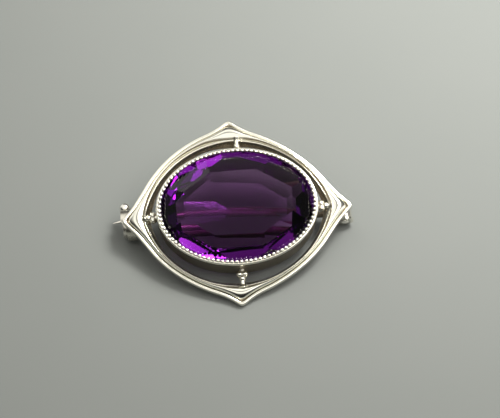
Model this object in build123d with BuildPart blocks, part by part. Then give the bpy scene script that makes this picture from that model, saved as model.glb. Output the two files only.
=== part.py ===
"""Oval amethyst brooch with an openwork silver frame, lying as it rests on a table.

Everything is laid out on the plane of the brooch's flat back, x to the right, y to the far side
and z out through the stone. That plane leans, because the brooch rests on its catch, its hinge
and its near cusp. All lengths are in millimetres.
"""

import os
from math import asin, atan, atan2, cos, degrees, hypot, radians, sin, tan

from build123d import *

# Openwork frame: its opening's width beside the collar, and how deep its cusps are
side_opening = 1.64
far_opening = 2.01
side_cusp = 3.00
far_cusp = 2.65
rim_width = 0.48
rim_height = 0.85
groove_height = 0.52
groove_width = 0.06
body_height = 1.30
lip_width = 0.20
lip_height = 0.95
wall_spread = 0.38

# Collar that holds the stone
bezel_wall = 0.30
bezel_foot = -0.20
shoulder_wall = 0.38
shoulder_height = 0.55
shoulder_round = 0.22
bezel_over_girdle = 0.60
bead_diameter = 0.40
bead_inset = 0.10
seat_width = 0.60
seat_height = 0.50

# Stone
stone_length = 20.0
stone_width = 15.06
girdle_level = 2.90
girdle_height = 0.15
crown_height = 2.00
table_inset = 3.05
break_slope = 46.5
pavilion_depth = 3.60
first_step_depth = 0.95
first_step_slope = 47.0
second_step_depth = 2.85
second_step_slope = 37.0

# Grain clusters between collar and frame
grain_diameter = 0.72
grain_spacing = 0.66
grain_level = 1.10
cluster_offset = 0.75
stub_diameter = 0.50
far_cluster_aside = 0.60

# Safety catch
catch_inset = 0.90
catch_y = 0.43
catch_length = 2.20
housing_diameter = 4.20
housing_wall = 0.35
housing_lip = 0.18
housing_lip_reach = 0.30
housing_taper = 23.0
mouth_start = -120.0
mouth_end = 35.0
sleeve_wall = 0.40
slot_start = -95.0
slot_end = -12.0
knob_angle = 5.0
knob_diameter = 1.46
knob_reach = 2.25
knob_offset = 0.50
knob_neck_diameter = 0.60
foot_length = 1.50
foot_width = 1.40

# Pin and hinge
hinge_inset = 1.00
hinge_y = 0.01
hinge_plate = 0.45
ear_thickness = 0.40
ear_neck = 0.10
knuckle_width = 1.30
knuckle_inset = 0.15
rivet_diameter = 0.76
rivet_head_diameter = 1.20
rivet_head_height = 0.26
pin_diameter = 0.84
pin_fall = 0.49
pin_bend_reach = 0.30
pin_bend_y = 1.15
pin_tip_reach = 2.20
pin_tip_y = 0.81
pin_point_diameter = 0.08

# Clearances, and the overlap of soldered pieces
stone_gap = 0.06
running_gap = 0.05
rivet_gap = 0.02
side_gap = 0.05
pin_under_stone = 1.18
solder = 0.06

# The opening goes round the stone's collar, and the frame round the opening
opening_length = stone_length + 2 * (stone_gap + bezel_wall + side_opening)
opening_width = stone_width + 2 * (stone_gap + bezel_wall + far_opening)
frame_length = opening_length + 2 * side_cusp
frame_width = opening_width + 2 * far_cusp

# The pin runs under the stone's keel, from the hinge's cusp to a little beyond the catch's
catch_depth = pavilion_depth - girdle_level + pin_diameter / 2 + pin_under_stone
hinge_depth = catch_depth + pin_fall
catch_x = catch_inset - frame_length / 2
hinge_x = frame_length / 2 - hinge_inset
pin_bend_x = catch_x + pin_bend_reach
pin_tip_x = catch_x - pin_tip_reach

# The back's lean: the catch's round wall and the near cusp reach the same level
near_cusp = frame_width / 2
housing_radius = housing_diameter / 2
catch_arm = hypot(near_cusp + catch_y, catch_depth)
lean = asin(housing_radius / catch_arm) + atan2(catch_depth, near_cusp + catch_y)
rise = near_cusp * sin(lean)

# The hinge's ears reach that level too, at the lower edge of the near one
hinge_half_width = knuckle_width / 2 + side_gap + ear_thickness
near_ear_y = hinge_y - hinge_half_width
ear_radius = (rise + near_ear_y * sin(lean)) / cos(lean) - hinge_depth
knuckle_radius = ear_radius - knuckle_inset

# The origin lies on the table, under the middle of what the brooch covers
middle_x = (pin_tip_x + hinge_x + ear_radius) / 2
middle_y = -rim_height * sin(lean) / 2
back = Plane(
    origin=(-middle_x, -middle_y, rise), x_dir=(1, 0, 0), z_dir=(0, -sin(lean), cos(lean))
)
outward = Axis(origin=back.origin, direction=back.z_dir)

# Half sizes and radii of what fits together
bore_x = stone_length / 2 + stone_gap
bore_y = stone_width / 2 + stone_gap
girdle_top = girdle_level + girdle_height
bezel_top = girdle_top + bezel_over_girdle
seat_top = girdle_level - seat_width * tan(radians(first_step_slope)) - stone_gap
bore_radius = housing_radius - housing_wall
sleeve_radius = bore_radius - running_gap
sleeve_bore = sleeve_radius - sleeve_wall
sleeve_length = catch_length - 2 * housing_lip - 2 * side_gap
knob_x = catch_x - knob_offset


def spot(x, y, z):
    """A point given on the brooch's own axes."""
    return back.from_local_coords(Vector(x, y, z))


def aim(x, y, z):
    """A direction given on the brooch's own axes."""
    return back.x_dir * x + back.y_dir * y + back.z_dir * z


def cut_along_x(x):
    """The upright plane at x, seen along the pin, with y and z as its axes."""
    return Plane(origin=spot(x, 0, 0), x_dir=aim(0, 1, 0), z_dir=aim(1, 0, 0))


def cut_along_y(y):
    """The upright plane at y, seen from the near side, with x and z as its axes."""
    return Plane(origin=spot(0, y, 0), x_dir=aim(1, 0, 0), z_dir=aim(0, -1, 0))


def bulge(start, end, share):
    """The middle of an arc that swells from its chord by a share of the chord."""
    run_x, run_y = end[0] - start[0], end[1] - start[1]
    return ((start[0] + end[0]) / 2 - share * run_y, (start[1] + end[1]) / 2 + share * run_x)


def sector(radius, first, last):
    """The corners of a wedge that takes the stretch between two angles out of a ring."""
    far = 1.5 * radius
    corners = [(0, 0)]
    for angle in (first, (first + last) / 2, last):
        corners.append((far * cos(radians(angle)), far * sin(radians(angle))))
    return corners


def all_round(directions):
    """Directions of one quarter, in degrees, mirrored into the other three."""
    turned = set()
    for direction in directions:
        turned.update({direction, 180 - direction, 180 + direction, (360 - direction) % 360})
    return sorted(turned)


def facet_plane(direction, slope, inset, level, side):
    """A facet's plane: it passes that far inside the girdle's outline at the given level.

    side is 1 on the crown and -1 on the pavilion.
    """
    across, along = cos(radians(direction)), sin(radians(direction))
    reach = hypot(stone_length / 2 * across, stone_width / 2 * along) - inset
    lift, spread = cos(radians(slope)) * side, sin(radians(slope))
    normal = aim(across * spread, along * spread, lift)
    return Plane(origin=spot(reach * across, reach * along, level), z_dir=normal)


# The band from the far cusp to the right cusp. Outer and inner places are shares of the half
# sizes of the frame and of its opening; rim, crest and height follow the band into its cusps,
# and so does the foot of its inner wall, which slopes in towards the collar.
# outer x, outer y, inner x, inner y, rim share, crest share, height share
band_stations = (
    (0.0000, 1.0000, 0.0000, 1.0000, 1.40, 0.60, 1.18),
    (0.0240, 0.9850, 0.0220, 0.9990, 1.30, 0.60, 1.18),
    (0.0733, 0.9420, 0.0667, 0.9950, 1.12, 0.60, 1.15),
    (0.1600, 0.8840, 0.1550, 0.9770, 1.02, 0.60, 1.06),
    (0.2800, 0.8240, 0.3000, 0.9320, 1.00, 0.62, 1.00),
    (0.4400, 0.7240, 0.4950, 0.8250, 1.00, 0.62, 1.00),
    (0.6000, 0.5820, 0.6790, 0.6640, 1.00, 0.62, 1.00),
    (0.7267, 0.4213, 0.8160, 0.4820, 1.00, 0.62, 1.00),
    (0.8200, 0.2650, 0.9100, 0.2980, 1.02, 0.60, 1.06),
    (0.8967, 0.1407, 0.9650, 0.1480, 1.12, 0.60, 1.15),
    (0.9730, 0.0400, 0.9940, 0.0420, 1.30, 0.60, 1.18),
    (1.0000, 0.0000, 1.0000, 0.0000, 1.40, 0.60, 1.18),
)

with BuildPart() as band:
    for out_x, out_y, in_x, in_y, rim_share, crest_share, height_share in band_stations:
        outer_x = out_x * frame_length / 2
        outer_y = out_y * frame_width / 2
        inner_x = in_x * opening_length / 2
        inner_y = in_y * opening_width / 2
        reach = hypot(inner_x - outer_x, inner_y - outer_y)
        inward = aim((inner_x - outer_x) / reach, (inner_y - outer_y) / reach, 0)
        upright = Plane(
            origin=spot(outer_x, outer_y, 0), x_dir=inward, z_dir=inward.cross(back.z_dir)
        )
        rim = rim_width * rim_share
        lip = reach - lip_width
        crest = rim + (lip - rim) * crest_share
        rim_outside = (0, rim_height - rim_width / 2)
        rim_inside = (rim, rim_height - rim_width / 2)
        groove = (rim + groove_width, groove_height)
        top = (crest, body_height * height_share)
        lip_outside = (lip, lip_height - lip_width / 4)
        lip_inside = (reach, lip_height - lip_width / 4)
        wall_foot = (reach + wall_spread * height_share**3, 0)
        with BuildSketch(upright):
            with BuildLine():
                Polyline(lip_inside, wall_foot, (0, 0), rim_outside)
                ThreePointArc(rim_outside, bulge(rim_outside, rim_inside, 0.35), rim_inside)
                Line(rim_inside, groove)
                ThreePointArc(groove, bulge(groove, top, 0.14), top)
                ThreePointArc(top, bulge(top, lip_outside, 0.12), lip_outside)
                ThreePointArc(lip_outside, bulge(lip_outside, lip_inside, 0.25), lip_inside)
            make_face()
    loft()
    mirror(about=Plane(origin=back.origin, x_dir=aim(0, 1, 0), z_dir=aim(1, 0, 0)))
    mirror(about=Plane(origin=back.origin, x_dir=aim(1, 0, 0), z_dir=aim(0, 1, 0)))

# Collar: a thin wall with a wider rounded shoulder over the girdle, bored for the stone, with
# a seat under the stone and a rolled edge over it
with BuildPart() as bezel:
    with BuildSketch(back.offset(bezel_foot)):
        Ellipse(bore_x + bezel_wall, bore_y + bezel_wall)
    extrude(amount=bezel_top - shoulder_height - bezel_foot)
    with BuildSketch(back.offset(bezel_top - shoulder_height)):
        Ellipse(bore_x + shoulder_wall, bore_y + shoulder_wall)
    extrude(amount=shoulder_height)
    fillet(bezel.edges().sort_by(outward)[-1], radius=shoulder_round)
    with BuildSketch(back.offset(seat_top)):
        Ellipse(bore_x, bore_y)
    extrude(amount=bezel_top - seat_top, mode=Mode.SUBTRACT)
    with BuildSketch(back.offset(bezel_foot)):
        Ellipse(stone_length / 2 - seat_width, stone_width / 2 - seat_width)
    extrude(amount=seat_top - bezel_foot, mode=Mode.SUBTRACT)
    with BuildSketch(back.offset(bezel_foot)):
        Ellipse(bore_x, bore_y)
    extrude(amount=seat_top - seat_height - bezel_foot, mode=Mode.SUBTRACT)

with BuildPart() as bead_roll:
    roll_level = bezel_top + bead_diameter / 8
    with BuildLine(back.offset(roll_level)):
        EllipticalCenterArc((0, 0), bore_x - bead_inset, bore_y - bead_inset, arc_size=360)
    roll_start = Plane(
        origin=spot(bore_x - bead_inset, 0, roll_level), x_dir=aim(1, 0, 0), z_dir=aim(0, 1, 0)
    )
    with BuildSketch(roll_start):
        Circle(bead_diameter / 2)
    sweep()

# Four stubs, each with three grains: two side by side at the collar, one towards the frame.
# The far one is soldered on a little to the right. The grains and stubs are turned so that
# their seams lie off the frame's mirror planes.
grain_turn = 37
# direction x, direction y, collar's half size, opening's half size, place aside
cluster_places = (
    (1, 0, bore_x + bezel_wall, opening_length / 2, 0),
    (-1, 0, bore_x + bezel_wall, opening_length / 2, 0),
    (0, 1, bore_y + bezel_wall, opening_width / 2, far_cluster_aside),
    (0, -1, bore_y + bezel_wall, opening_width / 2, 0),
)
with BuildPart(back) as clusters:
    for way_x, way_y, collar_edge, frame_edge, aside in cluster_places:
        start = collar_edge - solder
        stub_x = way_x * start + way_y * aside
        stub_y = way_y * start + way_x * aside
        stub_start = Plane(
            origin=spot(stub_x, stub_y, grain_level),
            x_dir=aim(abs(way_y), abs(way_x), 1),
            z_dir=aim(way_x, way_y, 0),
        )
        with BuildSketch(stub_start):
            Circle(stub_diameter / 2)
        extrude(amount=frame_edge + solder + stub_diameter / 2 - start)
        middle = collar_edge + cluster_offset
        for along, side in ((0.58, 0), (-0.29, 0.5), (-0.29, -0.5)):
            grain_reach = middle + grain_spacing * along
            grain_side = grain_spacing * side + aside
            grain_x = way_x * grain_reach + way_y * grain_side
            grain_y = way_y * grain_reach + way_x * grain_side
            with Locations(Location((grain_x, grain_y, grain_level), (0, 0, grain_turn))):
                Sphere(grain_diameter / 2)

# Catch housing: a C-shaped tube under the left cusp, with a lip at each end that keeps the
# sleeve in, its near wall cut aslant, and a foot that joins it to the frame's back
with BuildPart() as housing:
    for start, length, inner_radius in (
        (-catch_length / 2, catch_length, bore_radius),
        (-catch_length / 2, housing_lip, bore_radius - housing_lip_reach),
        (catch_length / 2 - housing_lip, housing_lip, bore_radius - housing_lip_reach),
    ):
        with BuildSketch(cut_along_x(catch_x + start)):
            with Locations((catch_y, -catch_depth)):
                Circle(housing_radius)
                Circle(inner_radius, mode=Mode.SUBTRACT)
                Polygon(
                    *sector(housing_radius, mouth_start, mouth_end),
                    align=None,
                    mode=Mode.SUBTRACT,
                )
        extrude(amount=length)
    near_wall = catch_y - housing_diameter
    wall_end = catch_x - catch_length / 2
    with BuildSketch(back.offset(-catch_depth - housing_radius)):
        Polygon(
            (wall_end, catch_y),
            (wall_end, near_wall),
            (wall_end + housing_diameter * tan(radians(housing_taper)), near_wall),
            align=None,
        )
    extrude(amount=housing_diameter, mode=Mode.SUBTRACT)
    foot_drop = catch_depth - housing_radius + housing_wall * 0.6
    with BuildSketch(back.offset(-foot_drop)):
        with Locations((catch_x + (catch_length - foot_length) / 2, catch_y)):
            Rectangle(foot_length, foot_width)
    extrude(amount=foot_drop + solder)

# Hinge joint: a plate under the right cusp with two round-ended ears, bored for the rivet
with BuildPart() as hinge:
    plate_length = ear_radius + ear_neck
    plate_x = hinge_x + (ear_neck - ear_radius) / 2
    with BuildSketch(back.offset(-hinge_plate)):
        with Locations((plate_x, hinge_y)):
            Rectangle(plate_length, 2 * hinge_half_width)
    extrude(amount=hinge_plate + solder)
    for ear_y in (hinge_y + hinge_half_width, near_ear_y + ear_thickness):
        with BuildSketch(cut_along_y(ear_y)):
            with Locations((hinge_x, -hinge_depth)):
                Circle(ear_radius)
            with Locations((plate_x, -hinge_depth / 2)):
                Rectangle(plate_length, hinge_depth)
            with Locations((hinge_x, -hinge_depth)):
                Circle(rivet_diameter / 2 + rivet_gap, mode=Mode.SUBTRACT)
        extrude(amount=ear_thickness)

with BuildPart() as mount:
    add(band.part)
    add(bezel.part)
    add(bead_roll.part)
    add(clusters.part)
    add(housing.part)
    add(hinge.part)

# Stone: an oval block whose facets are cut one by one. The crown has eight main facets round
# the table and sixteen breaks at the girdle, the pavilion three steps down to a keel.
main_directions = all_round((0, 56, 90))
break_directions = all_round((17, 42, 69, 80))
girdle_directions = all_round((0, 22, 42, 56, 75, 90))
main_slope = degrees(atan(crown_height / table_inset))
second_inset = first_step_depth / tan(radians(first_step_slope))
third_inset = second_inset + (second_step_depth - first_step_depth) / tan(
    radians(second_step_slope)
)
third_slope = degrees(
    atan((pavilion_depth - second_step_depth) / (stone_width / 2 - third_inset))
)
# directions, slope, inset, level, side
facet_rows = (
    (main_directions, main_slope, 0, girdle_top, 1),
    (break_directions, break_slope, 0, girdle_top, 1),
    (girdle_directions, first_step_slope, 0, girdle_level, -1),
    (main_directions, second_step_slope, second_inset, girdle_level - first_step_depth, -1),
    (main_directions, third_slope, third_inset, girdle_level - second_step_depth, -1),
)
with BuildPart() as amethyst:
    with BuildSketch(back.offset(girdle_level - pavilion_depth)):
        Ellipse(stone_length / 2, stone_width / 2)
    extrude(amount=pavilion_depth + girdle_height + crown_height)
    for directions, slope, inset, level, side in facet_rows:
        for direction in directions:
            split(
                bisect_by=facet_plane(direction, slope, inset, level, side), keep=Keep.BOTTOM
            )

# Turning sleeve of the catch, with its slot over the mouth and its knob on a short neck
with BuildPart() as catch_sleeve:
    with BuildSketch(cut_along_x(catch_x - sleeve_length / 2)):
        with Locations((catch_y, -catch_depth)):
            Circle(sleeve_radius)
            Circle(sleeve_bore, mode=Mode.SUBTRACT)
            Polygon(
                *sector(sleeve_radius, slot_start, slot_end), align=None, mode=Mode.SUBTRACT
            )
    extrude(amount=sleeve_length)
    knob_way = aim(0, cos(radians(knob_angle)), sin(radians(knob_angle)))
    catch_centre = spot(knob_x, catch_y, -catch_depth)
    neck_start = (sleeve_radius + sleeve_bore) / 2
    with BuildSketch(Plane(origin=catch_centre + knob_way * neck_start, z_dir=knob_way)):
        Circle(knob_neck_diameter / 2)
    extrude(amount=knob_reach - neck_start)
    with Locations(catch_centre + knob_way * knob_reach):
        Sphere(knob_diameter / 2)

# Pin: a knuckle round the rivet, a straight stem and a tapered point, bent a little aside
with BuildPart() as pin_stem:
    pin_start = spot(hinge_x, hinge_y, -hinge_depth)
    pin_bend = spot(pin_bend_x, pin_bend_y, -catch_depth)
    pin_tip = spot(pin_tip_x, pin_tip_y, -catch_depth)
    stem_way = (pin_bend - pin_start).normalized()
    stem_start = pin_start + stem_way * knuckle_radius * 0.75
    with BuildSketch(cut_along_y(hinge_y + knuckle_width / 2)):
        with Locations((hinge_x, -hinge_depth)):
            Circle(knuckle_radius)
            Circle(rivet_diameter / 2 + running_gap, mode=Mode.SUBTRACT)
    extrude(amount=knuckle_width)
    with BuildSketch(Plane(origin=stem_start, z_dir=stem_way)):
        Circle(pin_diameter / 2)
    extrude(amount=(pin_bend - stem_start).length)
    with Locations(pin_bend):
        Sphere(pin_diameter / 2)
    tip_way = (pin_tip - pin_bend).normalized()
    with BuildSketch(Plane(origin=pin_bend, z_dir=tip_way)):
        Circle(pin_diameter / 2)
    with BuildSketch(Plane(origin=pin_tip, z_dir=tip_way)):
        Circle(pin_point_diameter / 2)
    loft()

# Rivet: a shank through both ears and the knuckle, spread into a round head at each end
with BuildPart() as hinge_rivet:
    with BuildSketch(cut_along_y(hinge_y + hinge_half_width + rivet_gap)):
        with Locations((hinge_x, -hinge_depth)):
            Circle(rivet_diameter / 2)
    extrude(amount=2 * (hinge_half_width + rivet_gap))
    head_places = (
        hinge_y + hinge_half_width + rivet_gap + rivet_head_height,
        hinge_y - hinge_half_width - rivet_gap,
    )
    for head_y in head_places:
        with BuildSketch(cut_along_y(head_y)):
            with Locations((hinge_x, -hinge_depth)):
                Circle(rivet_head_diameter / 2)
        extrude(amount=rivet_head_height)
    across = Axis(origin=back.origin, direction=back.y_dir)
    outer_edges = hinge_rivet.edges().filter_by(GeomType.CIRCLE).sort_by(across)
    fillet([outer_edges[0], outer_edges[-1]], radius=rivet_head_height * 0.8)

mount.part.label = "mount"
amethyst.part.label = "amethyst"
catch_sleeve.part.label = "catch_sleeve"
pin_stem.part.label = "pin_stem"
hinge_rivet.part.label = "hinge_rivet"

os.makedirs("parts", exist_ok=True)
export_step(mount.part, "parts/mount.step")
export_step(amethyst.part, "parts/amethyst.step")
export_step(catch_sleeve.part, "parts/catch_sleeve.step")
export_step(pin_stem.part, "parts/pin_stem.step")
export_step(hinge_rivet.part, "parts/hinge_rivet.step")
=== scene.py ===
"""Looks of an oval amethyst brooch in an openwork silver frame, lying on a table.

Places are in millimetres on the plane of the brooch's flat back, as in the CAD source: x to the
right, y to the far side and z out through the stone. spot() puts them into the row frame, in
metres.
"""

from math import asin, atan2, cos, degrees, exp, hypot, pi, radians, sin, tan
import random

import bmesh
import bpy
import numpy as np
from mathutils import Matrix, Vector


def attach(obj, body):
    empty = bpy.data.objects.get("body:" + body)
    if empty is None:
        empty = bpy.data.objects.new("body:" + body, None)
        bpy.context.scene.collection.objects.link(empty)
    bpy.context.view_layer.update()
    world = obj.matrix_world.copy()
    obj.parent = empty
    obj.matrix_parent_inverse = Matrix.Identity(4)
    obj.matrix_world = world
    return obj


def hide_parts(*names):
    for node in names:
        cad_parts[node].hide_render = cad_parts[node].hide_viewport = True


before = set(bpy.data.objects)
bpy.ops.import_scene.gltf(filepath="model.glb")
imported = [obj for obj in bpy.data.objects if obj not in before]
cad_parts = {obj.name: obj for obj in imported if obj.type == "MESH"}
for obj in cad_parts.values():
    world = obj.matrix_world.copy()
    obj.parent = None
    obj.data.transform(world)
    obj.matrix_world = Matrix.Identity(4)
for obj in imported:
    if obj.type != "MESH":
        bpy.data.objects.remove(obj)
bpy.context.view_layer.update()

MM = 0.001

# Sizes shared with the CAD source
side_opening, far_opening = 1.64, 2.01
side_cusp, far_cusp = 3.00, 2.65
rim_width, rim_height = 0.48, 0.85
groove_height, groove_width = 0.52, 0.06
body_height = 1.30
lip_width, lip_height = 0.20, 0.95
wall_spread = 0.38
bezel_wall, bezel_foot = 0.30, -0.20
shoulder_wall, shoulder_height, shoulder_round = 0.38, 0.55, 0.22
bezel_over_girdle = 0.60
bead_diameter, bead_inset = 0.40, 0.10
seat_width, seat_height = 0.60, 0.50
stone_length, stone_width = 20.0, 15.06
girdle_level, girdle_height = 2.90, 0.15
crown_height, pavilion_depth = 2.00, 3.60
first_step_slope = 47.0
grain_diameter, grain_spacing, grain_level = 0.72, 0.66, 1.10
cluster_offset, stub_diameter = 0.75, 0.50
far_cluster_aside = 0.60
catch_inset, catch_y, catch_length = 0.90, 0.43, 2.20
housing_diameter, housing_wall = 4.20, 0.35
housing_lip, housing_lip_reach = 0.18, 0.30
housing_taper = 23.0
mouth_start, mouth_end = -120.0, 35.0
sleeve_wall = 0.40
slot_start, slot_end = -95.0, -12.0
knob_angle, knob_diameter, knob_reach, knob_offset = 5.0, 1.46, 2.25, 0.50
knob_neck_diameter = 0.60
foot_length, foot_width = 1.50, 1.40
hinge_inset, hinge_y = 1.00, 0.01
hinge_plate, ear_thickness, ear_neck = 0.45, 0.40, 0.10
knuckle_width, knuckle_inset = 1.30, 0.15
rivet_diameter, rivet_head_diameter, rivet_head_height = 0.76, 1.20, 0.26
pin_diameter, pin_point_diameter, pin_fall = 0.84, 0.08, 0.49
pin_bend_reach, pin_bend_y = 0.30, 1.15
pin_tip_reach, pin_tip_y = 2.20, 0.81
stone_gap, running_gap, rivet_gap, side_gap = 0.06, 0.05, 0.02, 0.05
pin_under_stone = 1.18

sunk = 0.06  # how far a soldered piece goes into what carries it

# The opening goes round the stone's collar, the frame round the opening, the pin under both
opening_length = stone_length + 2 * (stone_gap + bezel_wall + side_opening)
opening_width = stone_width + 2 * (stone_gap + bezel_wall + far_opening)
frame_length = opening_length + 2 * side_cusp
frame_width = opening_width + 2 * far_cusp
catch_depth = pavilion_depth - girdle_level + pin_diameter / 2 + pin_under_stone
hinge_depth = catch_depth + pin_fall
catch_x = catch_inset - frame_length / 2
hinge_x = frame_length / 2 - hinge_inset
pin_bend_x = catch_x + pin_bend_reach
pin_tip_x = catch_x - pin_tip_reach

# How the brooch leans as it rests, worked out as in the CAD source
near_cusp = frame_width / 2
housing_radius = housing_diameter / 2
catch_arm = hypot(near_cusp + catch_y, catch_depth)
lean = asin(housing_radius / catch_arm) + atan2(catch_depth, near_cusp + catch_y)
rise = near_cusp * sin(lean)
hinge_half_width = knuckle_width / 2 + side_gap + ear_thickness
near_ear_y = hinge_y - hinge_half_width
ear_radius = (rise + near_ear_y * sin(lean)) / cos(lean) - hinge_depth
knuckle_radius = ear_radius - knuckle_inset
middle_x = (pin_tip_x + hinge_x + ear_radius) / 2
middle_y = -rim_height * sin(lean) / 2

# From the plane of the brooch's flat back, in mm, to the row frame, in metres
back = Matrix.Translation(Vector((-middle_x, -middle_y, rise)) * MM)
back = back @ Matrix.Rotation(lean, 4, "X") @ Matrix.Scale(MM, 4)

bore_x = stone_length / 2 + stone_gap
bore_y = stone_width / 2 + stone_gap
girdle_top = girdle_level + girdle_height
bezel_top = girdle_top + bezel_over_girdle
seat_top = girdle_level - seat_width * tan(radians(first_step_slope)) - stone_gap
bore_radius = housing_radius - housing_wall
sleeve_radius = bore_radius - running_gap
sleeve_bore = sleeve_radius - sleeve_wall
sleeve_length = catch_length - 2 * housing_lip - 2 * side_gap


def spot(x, y, z):
    """A point on the brooch's own axes, in the row frame."""
    return back @ Vector((x, y, z))


# Materials


def new_material(name):
    """An empty node material, its Principled shader and a maker of further nodes."""
    material = bpy.data.materials.new(name)
    material.use_nodes = True
    tree = material.node_tree
    shader = tree.nodes["Principled BSDF"]

    def node(kind, **inputs):
        made = tree.nodes.new("ShaderNode" + kind)
        for key, value in inputs.items():
            if key in made.bl_rna.properties:
                setattr(made, key, value)
                continue
            socket = made.inputs[int(key[1:])] if key[1:].isdigit() else made.inputs[key]
            if isinstance(value, bpy.types.NodeSocket):
                tree.links.new(value, socket)
            else:
                socket.default_value = value
        return made

    return material, tree, shader, node


def mixed(node, factor, first, second):
    """The colour output of a mix of two colours."""
    mix = node("Mix", data_type="RGBA", Factor=factor)
    for socket in mix.inputs:
        if socket.type == "RGBA":
            socket.default_value = (*(first if socket.name == "A" else second), 1)
    return [socket for socket in mix.outputs if socket.type == "RGBA"][0]


film_share = 0.14  # tarnish that lies in thin patches on open silver
haze_roughness = 0.12  # roughness that the finest wear adds at most
tarnish_roughness = 0.25  # roughness that full tarnish adds
scratch_share = 0.35  # height of the scratches against the hammered unevenness


def silver(name, tint, tarnish_and_shade_tint, rough):
    """Worn polished silver: fine scratches, hammered unevenness, brown tarnish in grooves, and the
    same brown as painted shade where the points carry it.
    """
    material, tree, shader, node = new_material(name)
    link = tree.links.new
    place = node("TexCoord").outputs["Object"]
    # The point attribute holds tarnish in grooves and hollows, and painted shade on the band's
    # inner wall, the collar's outer wall, the catch housing and the pin's stem
    tarnish_and_shade_mask = node("Attribute", attribute_name="tarnish_and_painted_shade").outputs["Fac"]
    cloud = node("TexNoise", Vector=place, Scale=420.0, Detail=4.0, Roughness=0.6)
    fine = node("TexNoise", Vector=place, Scale=5200.0, Detail=3.0, Roughness=0.6)
    stretch = node("Mapping", Vector=place, Scale=(700.0, 5200.0, 5200.0))
    stretch.inputs["Rotation"].default_value = (0.0, 0.0, 0.6)
    scratch = node("TexNoise", Vector=stretch.outputs[0], Scale=1.0, Detail=2.0)
    dirt = node(
        "MapRange", Value=cloud.outputs["Fac"], **{"From Min": 0.52, "From Max": 0.75}
    )
    film = node("Math", operation="MULTIPLY", i0=dirt.outputs[0], i1=film_share)
    tarnish_shade_and_film = node("Math", operation="ADD", i0=tarnish_and_shade_mask, i1=film.outputs[0], use_clamp=True)
    link(mixed(node, tarnish_shade_and_film.outputs[0], tint, tarnish_and_shade_tint), shader.inputs["Base Color"])
    gloss = node(
        "Math", operation="MULTIPLY_ADD", i0=fine.outputs["Fac"], i1=haze_roughness, i2=rough
    )
    matt = node(
        "Math",
        operation="MULTIPLY_ADD",
        i0=tarnish_shade_and_film.outputs[0],
        i1=tarnish_roughness,
        i2=gloss.outputs[0],
    )
    link(matt.outputs[0], shader.inputs["Roughness"])
    shader.inputs["Metallic"].default_value = 1.0
    relief = node(
        "Math",
        operation="MULTIPLY_ADD",
        i0=scratch.outputs["Fac"],
        i1=scratch_share,
        i2=cloud.outputs["Fac"],
    )
    bump = node("Bump", Strength=0.35, Distance=0.00003, Height=relief.outputs[0])
    link(bump.outputs[0], shader.inputs["Normal"])
    return material


def amethyst_material():
    """Clear purple quartz with faint haze and hairline scratches on its facets."""
    material, tree, shader, node = new_material("amethyst")
    link = tree.links.new
    place = node("TexCoord").outputs["Object"]
    shader.inputs["Base Color"].default_value = (1.0, 1.0, 1.0, 1)
    shader.inputs["Transmission Weight"].default_value = 1.0
    shader.inputs["IOR"].default_value = 1.55
    haze = node("TexNoise", Vector=place, Scale=2600.0, Detail=3.0, Roughness=0.6)
    gloss = node(
        "MapRange",
        Value=haze.outputs["Fac"],
        **{"From Min": 0.55, "From Max": 0.8, "To Min": 0.0, "To Max": 0.05},
    )
    link(gloss.outputs[0], shader.inputs["Roughness"])
    stretch = node("Mapping", Vector=place, Scale=(900.0, 6000.0, 6000.0))
    stretch.inputs["Rotation"].default_value = (0.0, 0.0, 2.1)
    scratch = node("TexNoise", Vector=stretch.outputs[0], Scale=1.0, Detail=2.0)
    bump = node("Bump", Strength=0.06, Distance=0.00001, Height=scratch.outputs["Fac"])
    link(bump.outputs[0], shader.inputs["Normal"])
    volume = tree.nodes.new("ShaderNodeVolumeAbsorption")
    volume.inputs["Color"].default_value = (0.685, 0.37, 0.755, 1)
    volume.inputs["Density"].default_value = 500.0  # per metre
    output = [n for n in tree.nodes if n.type == "OUTPUT_MATERIAL"][0]
    link(volume.outputs[0], output.inputs["Volume"])
    return material


bright_silver = silver("silver", (0.94, 0.925, 0.83), (0.16, 0.12, 0.075), 0.10)
wire_silver = silver("pin_silver", (0.86, 0.83, 0.76), (0.18, 0.14, 0.09), 0.16)
catch_silver = silver("catch_silver", (0.88, 0.86, 0.80), (0.16, 0.13, 0.09), 0.13)
stone_material = amethyst_material()


# Making pieces


def piece(name, points, faces, material, node, body="brooch", slot="silver", crease=35.0):
    """A piece made of points on the brooch's own axes, in place of part of a CAD node.

    crease is the angle over which an edge stays sharp, or None for flat facets. A point may carry
    a fourth number, how dark it is: tarnish, and on some pieces painted shade.
    """
    mesh = bpy.data.meshes.new(name)
    mesh.from_pydata([spot(*p[:3]) for p in points], [], faces)
    tarnish_and_shade = mesh.attributes.new("tarnish_and_painted_shade", "FLOAT", "POINT")
    tarnish_and_shade.data.foreach_set("value", [p[3] if len(p) > 3 else 0.0 for p in points])
    mesh.update()
    shaped = bmesh.new()
    shaped.from_mesh(mesh)
    bmesh.ops.recalc_face_normals(shaped, faces=shaped.faces)
    shaped.to_mesh(mesh)
    shaped.free()
    if crease is not None:
        mesh.shade_smooth()
        mesh.set_sharp_from_angle(angle=radians(crease))
    mesh.materials.append(material)
    made = bpy.data.objects.new(name, mesh)
    bpy.context.scene.collection.objects.link(made)
    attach(made, body)
    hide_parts(node)
    return made


def grid(rows, columns, close_rows=True):
    """Quads between rows of points, closed along each row, and from last row to first if asked."""
    faces = []
    for row in range(rows if close_rows else rows - 1):
        after = (row + 1) % rows
        for column in range(columns):
            beside = (column + 1) % columns
            faces.append(
                (
                    row * columns + column,
                    row * columns + beside,
                    after * columns + beside,
                    after * columns + column,
                )
            )
    return faces


def bevel(made, width, segments=2, angle=30.0):
    """Breaks the piece's sharp edges, as polishing does."""
    modifier = made.modifiers.new("worn_edges", "BEVEL")
    modifier.width = width * MM
    modifier.segments = segments
    modifier.limit_method = "ANGLE"
    modifier.angle_limit = radians(angle)
    modifier.harden_normals = True


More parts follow.
